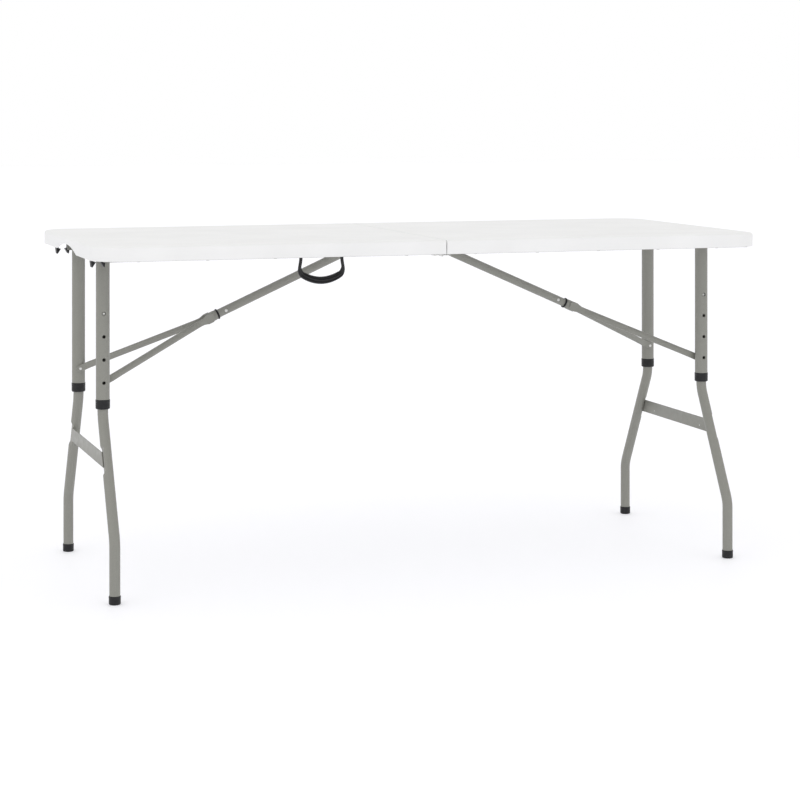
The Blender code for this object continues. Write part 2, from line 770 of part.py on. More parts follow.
def main():
    clear_scene()
    paint = {
        "white": make_material("white_plastic", (0.86, 0.86, 0.85), 0.45),
        "grey": make_material("grey_paint", (0.30, 0.30, 0.27), 0.40),
        "black": make_material("black_plastic", (0.02, 0.02, 0.02), 0.50),
        "zinc": make_material("zinc_plate", (0.72, 0.72, 0.70), 0.35, 1.0),
    }
    bodies = make_bodies()
    build_top(paint, bodies)
    for side, x_sign in SIDES:
        build_leg(side, x_sign, paint, bodies)
        build_brace(side, x_sign, paint, bodies)
    build_handle(paint, bodies)


main()
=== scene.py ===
"""Looks of the folding table: fine pieces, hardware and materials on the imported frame.

Metres, in the frame's own axes: +X along the length, +Y to the rear, +Z up. Fine pieces are drawn
once, for the right side or the rear row, and mirrored in X and Y.
"""

import json
import math

import bmesh
import bpy
from mathutils import Matrix, Vector


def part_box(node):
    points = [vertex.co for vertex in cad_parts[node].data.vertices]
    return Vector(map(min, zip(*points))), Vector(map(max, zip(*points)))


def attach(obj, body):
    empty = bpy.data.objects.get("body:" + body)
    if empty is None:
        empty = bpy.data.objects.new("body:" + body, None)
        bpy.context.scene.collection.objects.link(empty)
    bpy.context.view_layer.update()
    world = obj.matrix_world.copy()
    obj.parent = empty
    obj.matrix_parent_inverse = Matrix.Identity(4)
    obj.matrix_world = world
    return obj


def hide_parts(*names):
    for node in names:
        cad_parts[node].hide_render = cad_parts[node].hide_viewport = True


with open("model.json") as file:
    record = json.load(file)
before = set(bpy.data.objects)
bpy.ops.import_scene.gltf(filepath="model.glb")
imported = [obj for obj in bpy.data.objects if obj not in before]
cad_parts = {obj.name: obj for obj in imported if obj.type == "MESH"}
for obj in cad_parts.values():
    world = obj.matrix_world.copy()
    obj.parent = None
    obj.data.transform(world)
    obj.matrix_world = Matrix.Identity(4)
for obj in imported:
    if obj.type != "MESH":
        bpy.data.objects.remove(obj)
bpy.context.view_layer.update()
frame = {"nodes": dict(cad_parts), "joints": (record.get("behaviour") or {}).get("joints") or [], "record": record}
NODES = frame["nodes"]
JOINTS = {joint["name"]: joint for joint in frame["joints"]}
BODY_OF = {node: body for body, nodes in frame["record"]["behaviour"]["bodies"].items() for node in nodes}

SIDES = (("left", -1), ("right", 1))
ROWS = (("front", -1), ("rear", 1))
FINE = 48
X, Y, Z = Vector((1, 0, 0)), Vector((0, 1, 0)), Vector((0, 0, 1))

# Sizes that the frame's boxes don't give
TOP_CORNER_R = 0.065
TOP_EDGE_R = 0.0055
SEAM_EDGE_R = 0.0012
WALL = 0.004
SEAM_WALL = 0.003
ARCH_HALF_Y = 0.124
ARCH_RISE = 0.0165
PANEL_UNDER_Z = 0.7373
OUTER_BORE_R = 0.0137
INNER_R = 0.0114
INNER_BORE_R = 0.0102
HOLE_R = 0.0038
HOLE_PITCH = 0.049
BUTTON_R = 0.0031
BEND_TOP_Z = 0.372
BEND_BOTTOM_Z = 0.128
BEND_R = 0.060
SEAT_REACH = 0.0068
STEM_R = 0.0093
STEM_WALL = 0.0012
SLEEVE_R = 0.0113
SLEEVE_BORE_R = 0.0105
SLEEVE_START = 0.283
SLEEVE_END = 0.3083
LOCK_RING_R = 0.0120
BRACE_BUTTON_R = 0.0036
BRACE_HOLE_R = 0.0039
STEM_PIN_R = 0.003
STEM_PIN_HOLE_R = 0.0033
SKIRT_Z = 0.7128
CROSSBAR_RIVET_Y = 0.122
CROSSBAR_RIVET_Z = 0.280
GRIP_GROOVE_DEPTH = 0.0020


# ---------------------------------------------------------------- mesh tools


def join_rings(shape, low, high):
    count = max(len(low), len(high))
    for k in range(count):
        after = (k + 1) % count
        corners = [low[k % len(low)], low[after % len(low)], high[after % len(high)], high[k % len(high)]]
        corners = list(dict.fromkeys(corners))
        if len(corners) > 2:
            shape.faces.new(corners)


def skin(rings, closed=False, caps=True):
    """A surface through rings of points. A ring of one point is a tip."""
    shape = bmesh.new()
    made = [[shape.verts.new(p) for p in ring] for ring in rings]
    for low, high in zip(made, made[1:]):
        join_rings(shape, low, high)
    if closed:
        join_rings(shape, made[-1], made[0])
    elif caps:
        for ring in (made[0], made[-1]):
            if len(ring) > 2:
                shape.faces.new(ring)
    return shape


def lathe(profile, origin, axis, closed=False, segments=FINE):
    """Turns (radius, height) points about an axis."""
    axis = Vector(axis).normalized()
    across = axis.orthogonal().normalized()
    other = axis.cross(across)
    rings = []
    for radius, height in profile:
        centre = Vector(origin) + axis * height
        if radius < 1e-7:
            rings.append([centre])
            continue
        angles = [2 * math.pi * k / segments for k in range(segments)]
        rings.append([centre + (across * math.cos(a) + other * math.sin(a)) * radius for a in angles])
    return skin(rings, closed=closed, caps=False)


def fillet(points, radius, steps=3, closed=False):
    """A 2-D outline with its corners rounded, by less where its sides are short."""
    made = []
    count = len(points)
    for k, point in enumerate(points):
        if not closed and k in (0, count - 1):
            made.append(point)
            continue
        corner = Vector(point)
        back = Vector(points[k - 1]) - corner
        ahead = Vector(points[(k + 1) % count]) - corner
        reach = min(radius, 0.45 * back.length, 0.45 * ahead.length)
        start = corner + back.normalized() * reach
        end = corner + ahead.normalized() * reach
        for step in range(steps + 1):
            t = step / steps
            made.append(tuple(start * (1 - t) ** 2 + corner * 2 * t * (1 - t) + end * t * t))
    return made


def prism(outline, plane, low, high):
    """An outline in two named axes, such as XZ, drawn out along the third."""
    third = next(a for a in "XYZ" if a not in plane)
    rings = []
    for depth in (low, high):
        values = [{plane[0]: a, plane[1]: b, third: depth} for a, b in outline]
        rings.append([Vector([v[axis] for axis in "XYZ"]) for v in values])
    return skin(rings)


def oval(centre, across, up, half_across, half_up, count=FINE, power=2.0):
    points = []
    for k in range(count):
        c, s = math.cos(2 * math.pi * k / count), math.sin(2 * math.pi * k / count)
        reach_c = math.copysign(abs(c) ** (2 / power), c)
        reach_s = math.copysign(abs(s) ** (2 / power), s)
        points.append(centre + across * half_across * reach_c + up * half_up * reach_s)
    return points


def rounded_path(points, radius, steps=10):
    path = [points[0]]
    for before, corner, after in zip(points, points[1:], points[2:]):
        back = (before - corner).normalized()
        ahead = (after - corner).normalized()
        half_angle = back.angle(ahead) / 2
        start = corner + back * radius / math.tan(half_angle)
        end = corner + ahead * radius / math.tan(half_angle)
        centre = corner + (back + ahead).normalized() * radius / math.sin(half_angle)
        for k in range(steps + 1):
            chord = start.lerp(end, k / steps) - centre
            path.append(centre + chord.normalized() * radius)
    path.append(points[-1])
    return path


def divided(path, longest):
    made = [path[0]]
    for start, end in zip(path, path[1:]):
        parts = max(1, math.ceil((end - start).length / longest))
        made += [start.lerp(end, k / parts) for k in range(1, parts + 1)]
    return made


def tangents(path):
    last = len(path) - 1
    return [(path[min(k + 1, last)] - path[max(k - 1, 0)]).normalized() for k in range(last + 1)]


def blend(values, at):
    """Smoothly between (place, value) pairs."""
    for (low, first), (high, second) in zip(values, values[1:]):
        if at <= high:
            share = min(1.0, max(0.0, (at - low) / (high - low)))
            share = share * share * (3 - 2 * share)
            return first + (second - first) * share
    return values[-1][1]


def finish_mesh(mesh, angle=35):
    mesh.shade_smooth()
    mesh.set_sharp_from_angle(angle=math.radians(angle))


def new_object(name, shape, mirror=(1, 1)):
    for vertex in shape.verts:
        vertex.co.x *= mirror[0]
        vertex.co.y *= mirror[1]
    bmesh.ops.recalc_face_normals(shape, faces=shape.faces)
    mesh = bpy.data.meshes.new(name)
    shape.to_mesh(mesh)
    shape.free()
    item = bpy.data.objects.new(name, mesh)
    bpy.context.scene.collection.objects.link(item)
    return item


def cut(item, tools, mirror=(1, 1)):
    """Cuts shapes from a piece and keeps the result as its mesh."""
    for shape in tools:
        helper = new_object("cutter", shape, mirror)
        modifier = item.modifiers.new("cut", "BOOLEAN")
        modifier.operation = "DIFFERENCE"
        modifier.object = helper
        graph = bpy.context.evaluated_depsgraph_get()
        mesh = bpy.data.meshes.new_from_object(item.evaluated_get(graph))
        item.modifiers.clear()
        item.data = mesh
        bpy.data.objects.remove(helper)
    return item


def piece(name, shape, material, body, mirror=(1, 1), cuts=(), angle=35):
    item = cut(new_object(name, shape, mirror), cuts, mirror)
    finish_mesh(item.data, angle)
    item.data.materials.append(material)
    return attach(item, body)


def stand_in(node, shape, material, mirror=(1, 1), cuts=(), angle=35):
    """A fine piece that is shown in place of a node of the frame."""
    item = piece(f"{node}_fine", shape, material, BODY_OF[node], mirror, cuts, angle)
    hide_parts(node)
    return item


def dress_node(node, material, bevel):
    """Keeps a node's own shape, with worn-off edges and a finer material."""
    item = NODES[node]
    weld = item.modifiers.new("weld", "WELD")
    weld.merge_threshold = 0.00002
    edge = item.modifiers.new("bevel", "BEVEL")
    edge.width = bevel
    edge.segments = 3
    edge.limit_method = "ANGLE"
    edge.angle_limit = math.radians(50)
    edge.harden_normals = True
    item.data.shade_smooth()
    item.data.materials.clear()
    item.data.materials.append(material)


# ---------------------------------------------------------------- materials


def start_material(name, color, roughness, metallic=0.0, specular=0.5):
    material = bpy.data.materials.new(name)
    material.use_nodes = True
    shader = material.node_tree.nodes["Principled BSDF"]
    shader.inputs["Base Color"].default_value = (*color, 1)
    shader.inputs["Roughness"].default_value = roughness
    shader.inputs["Metallic"].default_value = metallic
    shader.inputs["Specular IOR Level"].default_value = specular
    return material, shader


def noise(tree, scale, detail=4.0, roughness=0.5):
    place = tree.nodes.new("ShaderNodeTexCoord")
    texture = tree.nodes.new("ShaderNodeTexNoise")
    texture.inputs["Scale"].default_value = scale
    texture.inputs["Detail"].default_value = detail
    texture.inputs["Roughness"].default_value = roughness
    tree.links.new(place.outputs["Object"], texture.inputs["Vector"])
    return texture.outputs["Fac"]


def ramp(tree, factor, low, high, start=0.3, end=0.7):
    """Colours or grey values between low and high, as the factor goes from start to end."""
    node = tree.nodes.new("ShaderNodeValToRGB")
    for element, place, value in zip(node.color_ramp.elements, (start, end), (low, high)):
        element.position = place
        element.color = (*value, 1) if isinstance(value, tuple) else (value, value, value, 1)
    tree.links.new(factor, node.inputs["Fac"])
    return node.outputs["Color"]


def bump(tree, height, distance, strength=1.0, below=None):
    node = tree.nodes.new("ShaderNodeBump")
    node.inputs["Distance"].default_value = distance
    node.inputs["Strength"].default_value = strength
    tree.links.new(height, node.inputs["Height"])
    if below is not None:
        tree.links.new(below, node.inputs["Normal"])
    return node.outputs["Normal"]


def white_plastic():
    """Blow-moulded polyethylene with a fine pebbled grain and long, faint waves."""
    material, shader = start_material("white_plastic_fine", (0.80, 0.80, 0.795), 0.42, specular=0.4)
    tree = material.node_tree
    clouds = ramp(tree, noise(tree, 9, 3), (0.775, 0.775, 0.77), (0.81, 0.81, 0.806))
    tree.links.new(clouds, shader.inputs["Base Color"])
    tree.links.new(ramp(tree, noise(tree, 260, 3), 0.38, 0.50), shader.inputs["Roughness"])
    waves = bump(tree, noise(tree, 14, 2), 0.0006, 0.35)
    tree.links.new(bump(tree, noise(tree, 620, 3, 0.55), 0.00012, 0.45, waves), shader.inputs["Normal"])
    return material


def grey_paint():
    """Powder coat: a warm grey with a light orange peel and a fine fleck."""
    material, shader = start_material("grey_powder_coat", (0.27, 0.268, 0.235), 0.40)
    tree = material.node_tree
    fleck = ramp(tree, noise(tree, 1500, 2), (0.215, 0.214, 0.190), (0.255, 0.254, 0.227), 0.35, 0.65)
    tree.links.new(fleck, shader.inputs["Base Color"])
    tree.links.new(ramp(tree, noise(tree, 60, 4), 0.36, 0.50), shader.inputs["Roughness"])
    tree.links.new(bump(tree, noise(tree, 900, 2), 0.00006, 0.5), shader.inputs["Normal"])
    return material


def black_plastic():
    material, shader = start_material("black_moulded_plastic", (0.007, 0.007, 0.008), 0.42, specular=0.36)
    tree = material.node_tree
    clouds = ramp(tree, noise(tree, 180, 4), (0.004, 0.004, 0.005), (0.009, 0.009, 0.010))
    tree.links.new(clouds, shader.inputs["Base Color"])
    tree.links.new(ramp(tree, noise(tree, 340, 3), 0.34, 0.52), shader.inputs["Roughness"])
    tree.links.new(bump(tree, noise(tree, 1100, 3), 0.00008, 0.5), shader.inputs["Normal"])
    return material


def zinc_plate():
    material, shader = start_material("bright_zinc", (0.66, 0.66, 0.64), 0.30, metallic=1.0)
    tree = material.node_tree
    clouds = ramp(tree, noise(tree, 420, 4), (0.56, 0.565, 0.56), (0.74, 0.735, 0.70))
    tree.links.new(clouds, shader.inputs["Base Color"])
    tree.links.new(ramp(tree, noise(tree, 700, 4), 0.22, 0.42), shader.inputs["Roughness"])
    tree.links.new(bump(tree, noise(tree, 1600, 2), 0.00003, 0.4), shader.inputs["Normal"])
    return material


PAINT = {
    "white": white_plastic(),
    "grey": grey_paint(),
    "black": black_plastic(),
    "zinc": zinc_plate(),
}


# ---------------------------------------------------------------- table top


def top_outline(seam_x, inset, half_length, half_width, steps=14):
    radius = TOP_CORNER_R - inset
    centre_x, centre_y = half_length - TOP_CORNER_R, half_width - TOP_CORNER_R
    points = [(seam_x, -half_width + inset)]
    for row, first in ((-1, -90), (1, 0)):
        for k in range(steps + 1):
            angle = math.radians(first + 90 * k / steps)
            points.append((centre_x + radius * math.cos(angle), row * centre_y + radius * math.sin(angle)))
        if row == -1:
            points += [(centre_x + radius, ARCH_HALF_Y * k / 16) for k in range(-16, 17)]
    points.append((seam_x, half_width - inset))
    return points


def arch_rise(y):
    """How far the skirt's lower edge lifts, in the finger arch at the middle of the table's end."""
    return ARCH_RISE * max(0.0, 1 - (y / ARCH_HALF_Y) ** 2)


def quarter(steps=6):
    """(sine, 1 - cosine) of a quarter turn, from its start to its end."""
    return [(math.sin(a), 1 - math.cos(a)) for a in (math.pi / 2 * k / steps for k in range(steps + 1))]


def top_shape(seam_x, half_length, half_width, skirt_z, top_z):
    """An open tray: a rounded rim, a smooth top, and an underside dimpled where its two skins meet."""

    def ring(seam_in, inset, z, arched=0.0):
        outline = top_outline(seam_x + seam_in, inset, half_length, half_width)
        return [Vector((x, y, z + arched * arch_rise(y))) for x, y in outline]

    rim = 0.0012
    rings = [ring(SEAM_WALL, WALL, PANEL_UNDER_Z - 0.002), ring(SEAM_WALL, WALL, skirt_z + rim, 1.0)]
    for rise, drawn in quarter(3)[1:]:
        rings.append(ring(SEAM_WALL - rim * drawn, WALL - rim * drawn, skirt_z + rim * (1 - rise), 1.0))
    for rise, drawn in quarter(3):
        rings.append(ring(rim * (1 - rise), rim * (1 - rise), skirt_z + rim * drawn, 1.0))
    rings.append(ring(0, 0, top_z - TOP_EDGE_R - 0.003))
    for rise, drawn in quarter(8):
        seam_in = SEAM_EDGE_R * drawn
        rings.append(ring(seam_in, TOP_EDGE_R * drawn, top_z - TOP_EDGE_R + TOP_EDGE_R * rise))
    flat = ring(SEAM_EDGE_R + 0.004, TOP_EDGE_R + 0.010, top_z)
    rings.append(flat)
    shape = skin(rings, caps=False)
    shape.verts.ensure_lookup_table()
    count = len(flat)
    shape.faces.new(shape.verts[-count:])
    dimple_underside(shape, shape.verts[:count], seam_x, half_length, half_width)
    return shape


def dimple_underside(shape, wall, seam_x, half_length, half_width):
    """Closes the tray with a fillet and a panel that has rows of round dimples."""
    shape.verts.ensure_lookup_table()
    inner = [Vector((x, y, PANEL_UNDER_Z)) for x, y in
             top_outline(seam_x + SEAM_WALL + 0.002, WALL + 0.002, half_length, half_width)]
    border = [shape.verts.new(p) for p in inner]
    join_rings(shape, list(wall), border)
    edges = [shape.edges.get((a, b)) for a, b in zip(border, border[1:] + border[:1])]
    pitch, mouth, floor_r, depth, lip = 0.034, 0.0085, 0.0050, 0.0030, 0.0006
    profile = [(mouth, 0.0), (mouth - lip, 0.0004), (floor_r + lip, depth - lip), (floor_r, depth)]
    columns = int((half_length - seam_x - 0.07) / pitch)
    rows = int((2 * half_width - 0.14) / pitch)
    start_x = seam_x + (half_length - seam_x) / 2 - pitch * (columns - 1) / 2
    for i in range(columns):
        for j in range(rows):
            offset = pitch / 4 if i % 2 else -pitch / 4
            centre = Vector((start_x + pitch * i, pitch * (j - (rows - 1) / 2) + offset, PANEL_UNDER_Z))
            made = []
            for radius, rise in profile:
                circle = oval(centre + Z * rise, X, Y, radius, radius, 14)
                made.append([shape.verts.new(point) for point in circle])
            for low, high in zip(made, made[1:]):
                join_rings(shape, low, high)
            shape.faces.new(made[-1])
            edges += [shape.edges.get((a, b)) for a, b in zip(made[0], made[0][1:] + made[0][:1])]
    bmesh.ops.triangle_fill(shape, use_beauty=True, edges=edges, normal=(0, 0, -1))


def catch_post(low_z, at_x, at_y):
    """A T-shaped post that a latch holds."""
    head, post, head_z = 0.0085, 0.0040, low_z + 0.0018
    outline = [(head, low_z), (head, head_z), (post, head_z), (post, PANEL_UNDER_Z + 0.001)]
    outline = [(at_x + x, z) for x, z in outline] + [(at_x - x, z) for x, z in reversed(outline)]
    return prism(fillet(outline, 0.0005, 2, closed=True), "XZ", at_y - 0.010, at_y + 0.010)


def build_top():
    for side, x_sign in SIDES:
        node = f"{side}_top_half"
        low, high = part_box(node)
        reach = sorted((abs(low.x), abs(high.x)))
        shape = top_shape(reach[0], reach[1], high.y, SKIRT_Z, high.z)
        stand_in(node, shape, PAINT["white"], (x_sign, 1), angle=30)
        if side == "right":
            for row, y_sign in ROWS:
                post = catch_post(low.z, 0.7305, 0.215)
                piece(f"{row}_catch_post", post, PAINT["white"], "right_half", (1, y_sign))
        for row, y_sign in ROWS:
            dress_node(f"{side}_{row}_rail", PAINT["grey"], 0.0004)
            dress_node(f"{side}_{row}_hinge_leaf", PAINT["zinc"], 0.0003)
            dress_node(f"{side}_{row}_pivot_bracket", PAINT["grey"], 0.0005)
        dress_node(f"{side}_stem_bracket", PAINT["grey"], 0.0004)
    for row, y_sign in ROWS:
        dress_node(f"{row}_latch", PAINT["black"], 0.0006)
        dress_node(f"{row}_hinge_pin", PAINT["zinc"], 0.0003)


# ---------------------------------------------------------------- legs


def build_leg(side, x_sign):
    pivot = JOINTS[f"{side}_leg_fold"]["pos_m"]
    pivot = Vector((abs(pivot[0]), 0, pivot[2]))
    low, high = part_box(f"{side}_pivot_rod")
    rod_r, rod_half = (high.z - low.z) / 2, high.y
    profile = fillet([(0, -rod_half), (rod_r, -rod_half), (rod_r, rod_half), (0, rod_half)], 0.0008)
    stand_in(f"{side}_pivot_rod", lathe(profile, pivot, Y), PAINT["zinc"], (x_sign, 1))
    build_crossbar(side, x_sign)
    for row, y_sign in ROWS:
        build_leg_side(side, row, (x_sign, y_sign), pivot, rod_half)


def build_leg_side(side, row, mirror, pivot, rod_half):
    name = f"{side}_{row}"
    low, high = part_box(f"{name}_upper_tube")
    centre = (low + high) / 2
    axis_x, axis_y, outer_r = abs(centre.x), abs(centre.y), (high.x - low.x) / 2
    low_button, high_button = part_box(f"{name}_button")
    button_z = (low_button.z + high_button.z) / 2
    foot_low, foot_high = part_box(f"{name}_foot")
    foot_y = abs((foot_low.y + foot_high.y) / 2)
    inner_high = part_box(f"{name}_lower_tube")[1]
    beside_hole = 0.007
    stops = [low.z, low.z + 0.01]
    stops += [button_z - HOLE_PITCH * k + d for k in (3, 2, 1, 0) for d in (-beside_hole, beside_hole)]
    stops += [0.66, high.z - 0.02, high.z]
    rings = [(outer_r, z) for z in stops] + [(OUTER_BORE_R, z) for z in reversed(stops)]
    foot_axis = Vector((axis_x, axis_y, 0))
    holes = [lathe([(0, 0.004), (HOLE_R, 0.004), (HOLE_R, 0.02), (0, 0.02)],
                   (axis_x, axis_y, button_z - HOLE_PITCH * k), Y, segments=28) for k in range(4)]
    bore = [(0, axis_y - 0.02), (0.0038, axis_y - 0.02), (0.0038, axis_y + 0.02), (0, axis_y + 0.02)]
    holes.append(lathe(bore, pivot, Y, segments=28))
    stand_in(f"{name}_upper_tube", lathe(rings, foot_axis, Z, closed=True), PAINT["grey"], mirror, holes)

    corners = [Vector((axis_x, axis_y, inner_high.z)), Vector((axis_x, axis_y, BEND_TOP_Z)),
               Vector((axis_x, foot_y, BEND_BOTTOM_Z)), Vector((axis_x, foot_y, 0.0043))]
    path = divided(rounded_path(corners, BEND_R, 12), 0.05)
    bar_low, bar_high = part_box(f"{side}_crossbar")
    path = seat_stops(path, bar_low.z, bar_high.z)
    seat = [(bar_low.z - 0.014, INNER_R), (bar_low.z - 0.008, SEAT_REACH),
            (bar_high.z + 0.008, SEAT_REACH), (bar_high.z + 0.014, INNER_R)]
    wall = INNER_R - INNER_BORE_R
    outer, inner = [], []
    for point, tangent in zip(path, tangents(path)):
        across = X.cross(tangent)
        reach = axis_x + blend(seat, point.z)
        skin_ring = oval(point, X, across, INNER_R, INNER_R)
        bore_ring = oval(point, X, across, INNER_BORE_R, INNER_BORE_R)
        outer.append([Vector((min(p.x, reach), p.y, p.z)) for p in skin_ring])
        inner.append([Vector((min(p.x, reach - wall), p.y, p.z)) for p in bore_ring])
    shape = skin(outer + inner[::-1], closed=True)
    hole = [(0, 0.004), (BUTTON_R + 0.0003, 0.004), (BUTTON_R + 0.0003, 0.02), (0, 0.02)]
    cuts = [lathe(hole, (axis_x, axis_y, button_z - HOLE_PITCH * k), Y, segments=28) for k in range(4)]
    stand_in(f"{name}_lower_tube", shape, PAINT["grey"], mirror, cuts)

    build_collar(f"{name}_collar", foot_axis, outer_r, mirror)
    build_foot(f"{name}_foot", Vector((axis_x, foot_y, 0)), mirror)
    profile = [(0, 0.0035), (0.0045, 0.0035), (0.0045, 0.0060), (BUTTON_R, 0.0060), (BUTTON_R, 0.0119)]
    profile += [(BUTTON_R * math.cos(a), 0.0119 + 0.0014 * math.sin(a)) for a in (0.3, 0.6, 0.9, 1.2)]
    dome = lathe([*profile, (0, 0.0133)], (axis_x, axis_y, button_z), Y, segments=32)
    stand_in(f"{name}_button", dome, PAINT["zinc"], mirror)

    nut = fillet([(0.0035, rod_half - 0.0031), (0.0062, rod_half - 0.0031), (0.0058, rod_half - 0.0016),
                  (0.0040, rod_half - 0.0006), (0.0035, rod_half - 0.0006)], 0.0004, 2)
    piece(f"{name}_push_nut", lathe(nut, pivot, Y, closed=True), PAINT["zinc"], f"{side}_leg", mirror)


def seat_stops(path, low_z, high_z):
    """Adds points where the tube is pressed flat for the crossbar."""
    made = list(path)
    above = [high_z + d for d in (0.014, 0.012, 0.010, 0.008)]
    below = [low_z - d for d in (0.008, 0.010, 0.012, 0.014)]
    for z in above + below:
        k = next(k for k, point in enumerate(made) if point.z < z - 1e-5)
        start, end = made[k - 1], made[k]
        if start.z > z + 1e-5:
            made.insert(k, start.lerp(end, (start.z - z) / (start.z - end.z)))
    return made


def build_collar(node, foot_axis, outer_r, mirror):
    """A moulded sleeve with a stepped lip and fine grip grooves."""
    low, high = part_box(node)
    radius = (high.x - low.x) / 2
    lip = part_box(node.replace("collar", "upper_tube"))[0].z - 0.0003
    profile = [(INNER_R + 0.0003, low.z), (radius - 0.0012, low.z), (radius - 0.0002, low.z + 0.0012)]
    for k in range(4):
        z = low.z + 0.0052 + 0.0028 * k
        profile += [(radius, z - 0.0006), (radius - 0.0003, z - 0.0002)]
        profile += [(radius - 0.0003, z + 0.0002), (radius, z + 0.0006)]
    profile += [(radius, high.z - 0.0006), (radius - 0.0004, high.z), (outer_r + 0.0002, high.z)]
    profile += [(outer_r + 0.0002, lip), (INNER_R + 0.0003, lip)]
    stand_in(node, lathe(profile, foot_axis, Z, closed=True, segments=64), PAINT["black"], mirror, angle=50)


def build_foot(node, base, mirror):
    """A moulded cup with a soft tread ring and a bead round its mouth."""
    low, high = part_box(node)
    radius = (high.x - low.x) / 2
    tread = radius - 0.0015
    profile = [(0, 0.0006), (tread - 0.004, 0.0006), (tread - 0.0032, 0), (tread - 0.0004, 0)]
    profile += [(radius - 0.0002, 0.0016), (radius - 0.0002, high.z - 0.0042), (radius, high.z - 0.0036)]
    profile += [(radius, high.z - 0.0010), (radius - 0.0006, high.z), (INNER_R + 0.0002, high.z)]
    profile += [(INNER_R + 0.0002, 0.0041), (0, 0.0041)]
    shape = lathe(fillet(profile, 0.0006, 2), base, Z, segments=64)
    stand_in(node, shape, PAINT["black"], mirror, angle=50)


def build_crossbar(side, x_sign):
    """A flat bar on the seats pressed into the outer faces of both tubes, riveted from inside."""
    node = f"{side}_crossbar"
    dress_node(node, PAINT["grey"], 0.0008)
    low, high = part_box(node)
    near_x = min(abs(low.x), abs(high.x))
    for row, y_sign in ROWS:
        place = Vector((x_sign * near_x, y_sign * CROSSBAR_RIVET_Y, CROSSBAR_RIVET_Z))
        rivet(f"{side}_{row}_crossbar_rivet", place, -X * x_sign, 0.0018, BODY_OF[node])


# ---------------------------------------------------------------- brace


def brace_axes(side):
    """(leg pivot, direction up the stem, direction square to it) of the right side's brace."""
    pivot = JOINTS[f"{side}_brace_fold"]["pos_m"]
    axis = JOINTS[f"{side}_stem_slide"]["axis"]
    along = Vector((-abs(axis[0]), 0, abs(axis[2]))).normalized()
    return Vector((abs(pivot[0]), 0, pivot[2])), along, Vector((along.z, 0, -along.x))


def build_brace(side, x_sign):
    pivot, along, up = brace_axes(side)
    mirror = (x_sign, 1)
    pin_low, pin_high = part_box(f"{side}_stem_pin")
    pin_centre = Vector((abs(pin_low.x + pin_high.x) / 2, 0, (pin_low.z + pin_high.z) / 2))
    length = (pin_centre - pivot).dot(along)
    button_low, button_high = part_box(f"{side}_brace_button")
    button = (button_low + button_high) / 2
    button_s = (Vector((abs(button.x), 0, button.z)) - pivot).dot(along)

    def at(s, y=0.0):
        return pivot + along * s + Y * y

    rings, bores = [], []
    pressed = [length - back for back in (0.034, 0.029, 0.024, 0.019, 0.016, -0.006)]
    for s in (SLEEVE_START, 0.30, 0.316, 0.345, 0.42, 0.50, 0.58, 0.64, *pressed):
        share = blend([(length - 0.032, 1.0), (length - 0.016, 0.68)], s)
        power = blend([(length - 0.032, 2.0), (length - 0.016, 3.2)], s)
        rings.append(oval(at(s), Y, up, STEM_R, STEM_R * share, power=power))
        bores.append(oval(at(s), Y, up, STEM_R - STEM_WALL, STEM_R * share - STEM_WALL, power=power))
    button_hole = [(0, 0.004), (BRACE_HOLE_R, 0.004), (BRACE_HOLE_R, 0.02), (0, 0.02)]
    pin_hole = [(0, -0.02), (STEM_PIN_HOLE_R, -0.02), (STEM_PIN_HOLE_R, 0.02), (0, 0.02)]
    cuts = [lathe(button_hole, at(button_s), -Y, segments=28), lathe(pin_hole, pin_centre, Y, segments=28)]
    stand_in(f"{side}_stem", skin(rings + bores[::-1], closed=True), PAINT["grey"], mirror, cuts)
    pin = fillet([(0, -0.010), (STEM_PIN_R, -0.010), (STEM_PIN_R, 0.010), (0, 0.010)], 0.0005)
    stand_in(f"{side}_stem_pin", lathe(pin, pin_centre, Y, segments=32), PAINT["zinc"], mirror)
    dome = [(0, 0.002), (BRACE_BUTTON_R, 0.002), (BRACE_BUTTON_R, 0.0086)]
    dome += [(BRACE_BUTTON_R * math.cos(a), 0.0086 + 0.0016 * math.sin(a)) for a in (0.3, 0.6, 0.9, 1.2)]
    shape = lathe([*dome, (0, 0.0102)], at(button_s), -Y, segments=36)
    stand_in(f"{side}_brace_button", shape, PAINT["zinc"], mirror)

    profile = [(SLEEVE_BORE_R, SLEEVE_START), (SLEEVE_R, SLEEVE_START), (SLEEVE_R, 0.3035),
               (SLEEVE_R - 0.0005, 0.3040), (SLEEVE_R - 0.0005, SLEEVE_END), (SLEEVE_BORE_R, SLEEVE_END)]
    shape = lathe(fillet(profile, 0.0004, 2, closed=True), pivot, along, closed=True)
    stand_in(f"{side}_brace_sleeve", shape, PAINT["grey"], mirror)
    profile = [(SLEEVE_BORE_R, 0.3086), (LOCK_RING_R, 0.3092), (LOCK_RING_R, 0.3122), (SLEEVE_BORE_R, 0.3130)]
    shape = lathe(fillet(profile, 0.0006, 3, closed=True), pivot, along, closed=True)
    piece(f"{side}_lock_ring", shape, PAINT["black"], f"{side}_brace", mirror)
    for row, y_sign in ROWS:
        build_strut(side, row, (x_sign, y_sign), pivot, along, up)


